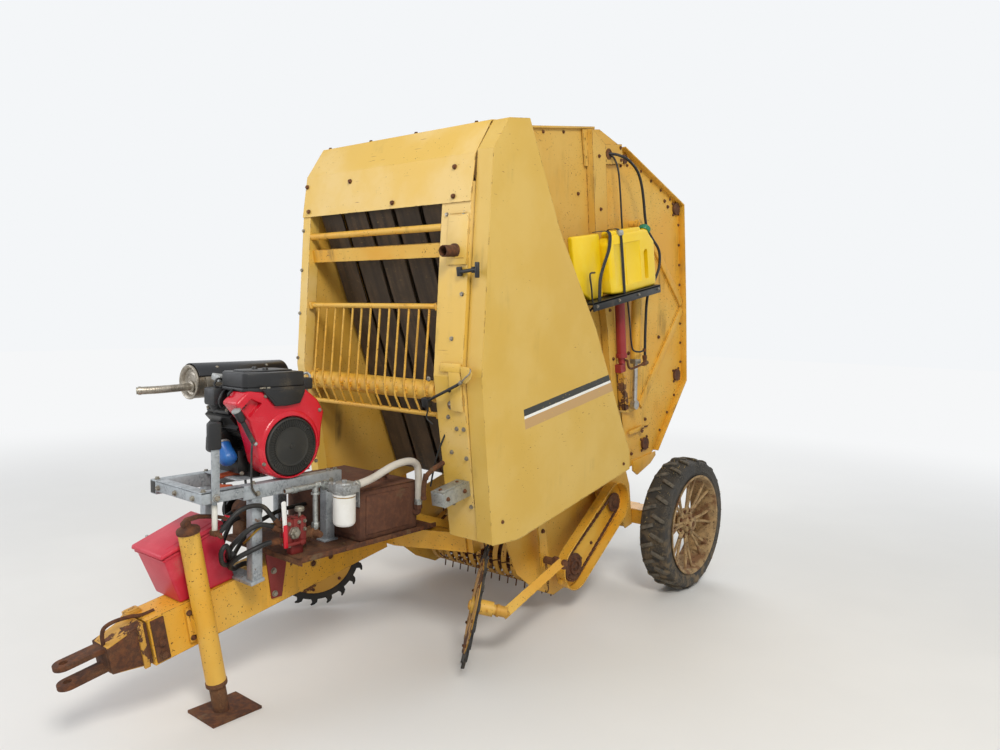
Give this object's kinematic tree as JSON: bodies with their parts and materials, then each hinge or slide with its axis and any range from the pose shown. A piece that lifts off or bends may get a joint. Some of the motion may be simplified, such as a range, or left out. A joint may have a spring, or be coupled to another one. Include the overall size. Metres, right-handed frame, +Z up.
{
  "type": "round baler",
  "caption": "Drawn round baler with belts, opening tailgate, lifting pickup, gathering wheels, parking jack and its own engine and hydraulic tank on the tongue.",
  "frame": {"origin": "on the ground, in the middle of the overall length and width", "axes": "+X to the machine's left side, where the drive shield is, +Y to its rear, +Z up; the hitch points to -Y"},
  "size_m": [1.87, 4.0286, 2.8068],
  "materials": {
    "bare_steel": "satin",
    "belt_rubber": "matt",
    "black_iron": "matt",
    "black_plastic": "matt",
    "blue_paint": "gloss",
    "galvanised": "matt",
    "hose_rubber": "satin",
    "pale_hose": "matt",
    "red_paint": "gloss",
    "red_plastic": "satin",
    "rim_steel": "muddy",
    "rusty_steel": "rusted",
    "silver_paint": "satin",
    "tyre": "matt",
    "white_paint": "gloss",
    "yellow_paint": "weathered",
    "yellow_plastic": "satin"
  },
  "bodies": {
    "chassis": {"tongue": "yellow_paint", "hitch_clevis": "rusty_steel", "jack_tube": "yellow_paint", "tool_tub": "red_plastic", "chassis_frame": "yellow_paint", "rake_arms": "yellow_paint", "side_walls": "yellow_paint", "front_posts": "yellow_paint", "front_hood": "yellow_paint", "guard_grille": "yellow_paint", "rollers_front": "rusty_steel", "belts_front": "belt_rubber", "channel_bracket": "galvanised", "engine_block": "black_iron", "engine_shroud": "red_paint", "fan_screen": "black_plastic", "air_cleaner": "black_plastic", "muffler": "bare_steel", "engine_oil_filter": "blue_paint", "engine_frame": "silver_paint", "hydraulic_tank": "rusty_steel", "return_filter": "white_paint", "valve_block": "red_paint", "suction_hose": "pale_hose", "hoses": "hose_rubber", "tank_shelf": "rusty_steel", "side_jug": "yellow_plastic", "jug_bracket": "black_plastic", "tension_rams": "red_paint"},
    "jack": {"jack_leg": "rusty_steel"},
    "wheel_left": {"rim_left": "rim_steel", "tyre_left": "tyre"},
    "wheel_right": {"rim_right": "rim_steel", "tyre_right": "tyre"},
    "shield_door": {"shield_left": "yellow_paint"},
    "tailgate": {"gate_sides": "yellow_paint", "gate_rollers": "rusty_steel", "belts_gate": "belt_rubber"},
    "lift_barrel_left": {"barrel_left": "yellow_paint"},
    "lift_rod_left": {"rod_left": "bare_steel"},
    "lift_barrel_right": {"barrel_right": "yellow_paint"},
    "lift_rod_right": {"rod_right": "bare_steel"},
    "pickup": {"pickup_frame": "yellow_paint", "stripper_bands": "yellow_paint"},
    "reel": {"pickup_reel": "rusty_steel"},
    "rake_left": {"rake_wheel_left": "hose_rubber"},
    "rake_right": {"rake_wheel_right": "hose_rubber"}
  },
  "joints": [
    {"name": "wheel_left_spin", "type": "hinge", "parent": "chassis", "child": "wheel_left", "pos_m": [0.84, 1.42918, 0.414], "axis": [1, 0, 0], "continuous": true},
    {"name": "wheel_right_spin", "type": "hinge", "parent": "chassis", "child": "wheel_right", "pos_m": [-0.84, 1.42918, 0.414], "axis": [1, 0, 0], "continuous": true},
    {"name": "tailgate_lift", "type": "hinge", "parent": "chassis", "child": "tailgate", "pos_m": [0, 0.92708, 2.67415], "axis": [1, 0, 0], "range_deg": [0, 60]},
    {"name": "barrel_left_tilt", "type": "hinge", "parent": "tailgate", "child": "lift_barrel_left", "pos_m": [0.562, 1.24257, 2.2901], "axis": [1, 0, 0], "range_deg": [-70, 5]},
    {"name": "rod_left_stroke", "type": "slide", "parent": "lift_barrel_left", "child": "lift_rod_left", "axis": [0, 0.0171, -0.9999], "range_m": [0, 0.5]},
    {"name": "barrel_right_tilt", "type": "hinge", "parent": "tailgate", "child": "lift_barrel_right", "pos_m": [-0.562, 1.24257, 2.2901], "axis": [1, 0, 0], "range_deg": [-70, 5]},
    {"name": "rod_right_stroke", "type": "slide", "parent": "lift_barrel_right", "child": "lift_rod_right", "axis": [0, 0.0171, -0.9999], "range_m": [0, 0.5]},
    {"name": "shield_door_swing", "type": "hinge", "parent": "chassis", "child": "shield_door", "pos_m": [0.76, 0.80079, 0.92565], "axis": [0, -0.5086, 0.861], "range_deg": [0, 75]},
    {"name": "pickup_lift", "type": "hinge", "parent": "chassis", "child": "pickup", "pos_m": [0, 0.99335, 0.5707], "axis": [-1, 0, 0], "range_deg": [0, 12]},
    {"name": "reel_spin", "type": "hinge", "parent": "pickup", "child": "reel", "pos_m": [0, 0.57344, 0.27428], "axis": [1, 0, 0], "continuous": true},
    {"name": "rake_left_spin", "type": "hinge", "parent": "chassis", "child": "rake_left", "pos_m": [0.63, -0.32982, 0.298], "axis": [0.7382, 0.6417, -0.2079], "continuous": true},
    {"name": "rake_right_spin", "type": "hinge", "parent": "chassis", "child": "rake_right", "pos_m": [-0.63, -0.32982, 0.298], "axis": [-0.7382, 0.6417, -0.2079], "continuous": true},
    {"name": "jack_slide", "type": "slide", "parent": "chassis", "child": "jack", "axis": [0, -0.1736, 0.9848], "range_m": [-0.15, 0.1]}
  ],
  "couplings": [
    {"joint": "barrel_left_tilt", "follows": "tailgate_lift", "ratio": -1.1088},
    {"joint": "rod_left_stroke", "follows": "tailgate_lift", "m_per_rad": 0.45131},
    {"joint": "barrel_right_tilt", "follows": "tailgate_lift", "ratio": -1.1088},
    {"joint": "rod_right_stroke", "follows": "tailgate_lift", "m_per_rad": 0.45131}
  ]
}
